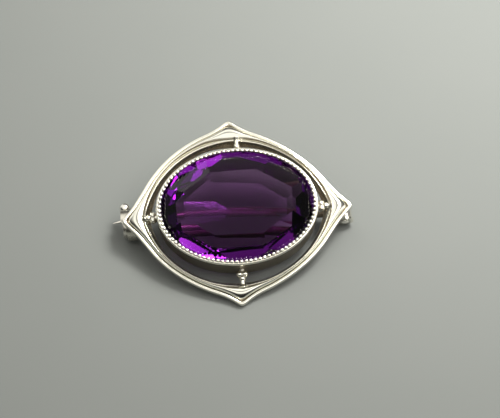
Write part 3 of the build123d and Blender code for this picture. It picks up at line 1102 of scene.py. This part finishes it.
# Table top, light and camera
half_floor = 1.5
floor_mesh = bpy.data.meshes.new("table_top")
floor_mesh.from_pydata(
    [
        (-half_floor, -half_floor, 0),
        (half_floor, -half_floor, 0),
        (half_floor, half_floor, 0),
        (-half_floor, half_floor, 0),
    ],
    [],
    [(0, 1, 2, 3)],
)
floor = bpy.data.objects.new("table_top", floor_mesh)
bpy.context.scene.collection.objects.link(floor)
floor_material, floor_tree, floor_shader, floor_node = new_material("table_top")
floor_place = floor_node("TexCoord").outputs["Object"]
floor_cloud = floor_node("TexNoise", Vector=floor_place, Scale=60.0, Detail=5.0)
floor_colour = mixed(
    floor_node, floor_cloud.outputs["Fac"], (0.158, 0.170, 0.162), (0.168, 0.178, 0.170)
)
floor_tree.links.new(floor_colour, floor_shader.inputs["Base Color"])
floor_shader.inputs["Roughness"].default_value = 0.75
floor_mesh.materials.append(floor_material)


# A window to the right, narrow in its spread: the table grows brighter towards it
window_place, window_aim = Vector((0.124, 0.066, 0.265)), Vector((0.06, 0.07, 0))
window_light = bpy.data.lights.new("window", "AREA")
window_light.shape = "RECTANGLE"
window_light.size, window_light.size_y = 0.10, 0.10
window_light.energy = 0.235
window_light.color = (1.0, 0.98, 0.94)
window_light.spread = radians(60)
window = bpy.data.objects.new("window", window_light)
bpy.context.scene.collection.objects.link(window)
window.location = window_place
window.rotation_euler = (window_aim - window_place).to_track_quat("-Z", "Y").to_euler()

world = bpy.data.worlds.new("studio")
bpy.context.scene.world = world
world.use_nodes = True
sky = world.node_tree.nodes["Background"]
sky_tree = world.node_tree
sky_way = sky_tree.nodes.new("ShaderNodeTexCoord").outputs["Generated"]


def sky_glow(axis, wide, narrow, colour, under):
    """A soft glow of the sky round an axis, added to what is under it.

    It ends at wide and is full from narrow on, in degrees from the axis.
    """
    dot = sky_tree.nodes.new("ShaderNodeVectorMath")
    dot.operation = "DOT_PRODUCT"
    sky_tree.links.new(sky_way, dot.inputs[0])
    dot.inputs[1].default_value = Vector(axis).normalized()
    edge = sky_tree.nodes.new("ShaderNodeMapRange")
    edge.interpolation_type = "SMOOTHSTEP"
    edge.inputs["From Min"].default_value = cos(radians(wide))
    edge.inputs["From Max"].default_value = cos(radians(narrow))
    sky_tree.links.new(dot.outputs["Value"], edge.inputs["Value"])
    tint = sky_tree.nodes.new("ShaderNodeVectorMath")
    tint.operation = "SCALE"
    tint.inputs[0].default_value = colour
    sky_tree.links.new(edge.outputs[0], tint.inputs["Scale"])
    if under is None:
        return tint.outputs[0]
    both = sky_tree.nodes.new("ShaderNodeVectorMath")
    both.operation = "ADD"
    sky_tree.links.new(under, both.inputs[0])
    sky_tree.links.new(tint.outputs[0], both.inputs[1])
    return both.outputs[0]


# Soft studio light: axis, wide, narrow, colour
sky_glows = (
    ((0.0, 0.25, 1.0), 100, 30, (0.16, 0.155, 0.145)),  # dim room
    ((0.0, 0.0, 1.0), 62, 45, (0.98, 0.96, 0.90)),  # ceiling
    ((0.0, 0.0, 1.0), 12, 5.5, (-0.94, -0.92, -0.87)),  # dark middle of it, over the brooch
    ((0.512, -0.186, 0.839), 22, 9, (4.4, 4.3, 4.1)),  # bright lamp to the right
    ((1.0, -0.25, 0.0), 30, 10, (1.5, 1.47, 1.38)),  # low light to the right
    ((-0.75, 0.75, 0.15), 36, 12, (0.95, 0.93, 0.88)),  # low light behind to the left
)
glow = None
for axis, wide, narrow, colour in sky_glows:
    glow = sky_glow(axis, wide, narrow, colour, glow)
sky_tree.links.new(glow, sky.inputs["Color"])
sky.inputs["Strength"].default_value = 1.0

# The camera's axes are set out on the brooch's own axes and turned with it. The brooch's origin
# falls on the target pixel
camera_distance = 0.26
pixels_per_mm = 7.69
picture_width, picture_height = 500, 418
target_pixel = (237.3, 214.75)
swing, height_angle = radians(4.4), radians(71.0)
leaning = back.to_3x3().normalized()
rightward = leaning @ Vector((cos(swing), -sin(swing), 0))
upward = leaning @ Vector(
    (
        sin(swing) * sin(height_angle),
        cos(swing) * sin(height_angle),
        cos(height_angle),
    )
)
outward = rightward.cross(upward)
looking = Matrix((rightward, upward, outward)).transposed().to_quaternion()
camera_data = bpy.data.cameras.new("camera")
sensor_width = 36.0
camera_data.sensor_width = sensor_width
camera_data.lens = sensor_width * pixels_per_mm / MM * camera_distance / picture_width
camera_data.clip_start = 0.01
camera = bpy.data.objects.new("camera", camera_data)
bpy.context.scene.collection.objects.link(camera)
aside_mm = (picture_width / 2 - target_pixel[0]) / pixels_per_mm
above_mm = (target_pixel[1] - picture_height / 2) / pixels_per_mm
camera.location = (
    spot(0, 0, 0) + outward * camera_distance + rightward * aside_mm * MM + upward * above_mm * MM
)
camera.rotation_mode = "QUATERNION"
camera.rotation_quaternion = looking
bpy.context.scene.camera = camera

bpy.context.scene.view_settings.view_transform = "Standard"
cycles = bpy.context.scene.cycles
cycles.max_bounces = 24
cycles.glossy_bounces = 16
cycles.transmission_bounces = 24
cycles.volume_bounces = 4
cycles.caustics_refractive = False
